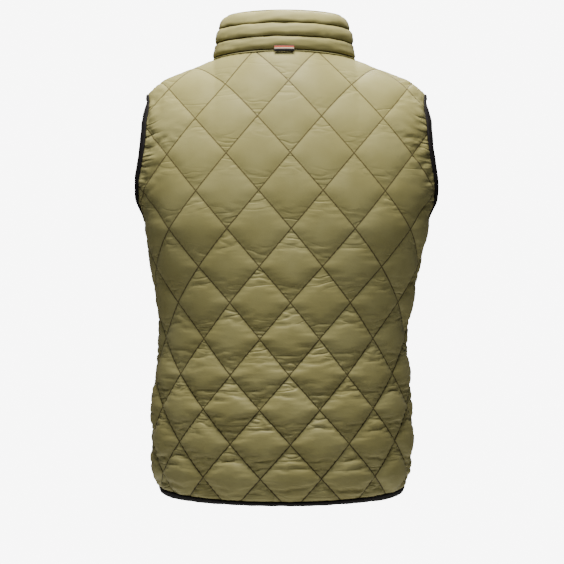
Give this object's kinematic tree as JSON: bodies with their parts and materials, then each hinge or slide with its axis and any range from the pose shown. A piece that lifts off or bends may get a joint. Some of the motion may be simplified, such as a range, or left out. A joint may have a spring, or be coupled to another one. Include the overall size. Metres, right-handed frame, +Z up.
{
  "type": "quilted vest",
  "caption": "Diamond-quilted stand-collar vest in its worn, zipped-up shape, with bound armholes and hem.",
  "frame": {"origin": "in the middle of the neck opening, level with the collar's seam at the centre back, where the wearer's neck and shoulders hold the vest", "axes": "+Z up, +X to the wearer's left, -Y to the front"},
  "size_m": [0.447, 0.2756, 0.7162],
  "materials": {
    "quilted_cloth": "olive woven nylon with a soft sheen, quilted over thin padding",
    "binding": "black folded binding tape",
    "tab_cloth": "woven tape in rust, cream and black",
    "zip_tape": "black woven tape",
    "zip_teeth": "moulded teeth, dark",
    "zip_metal": "dark metal, satin"
  },
  "bodies": {
    "vest": {"back_panel": "quilted_cloth", "front_left": "quilted_cloth", "front_right": "quilted_cloth", "collar": "quilted_cloth", "armhole_binding_left": "binding", "armhole_binding_right": "binding", "hem_binding": "binding", "neck_tab": "tab_cloth", "zip_tape_left": "zip_tape", "zip_tape_right": "zip_tape", "zip_chain": "zip_teeth", "zip_slider": "zip_metal"},
    "pull": {"zip_pull": "zip_metal"}
  },
  "joints": [
    {"name": "pull_hinge", "type": "hinge", "parent": "vest", "child": "pull", "pos_m": [-0.0045, -0.10279, -0.03233], "axis": [-1, 0, 0], "range_deg": [0, 160]}
  ]
}
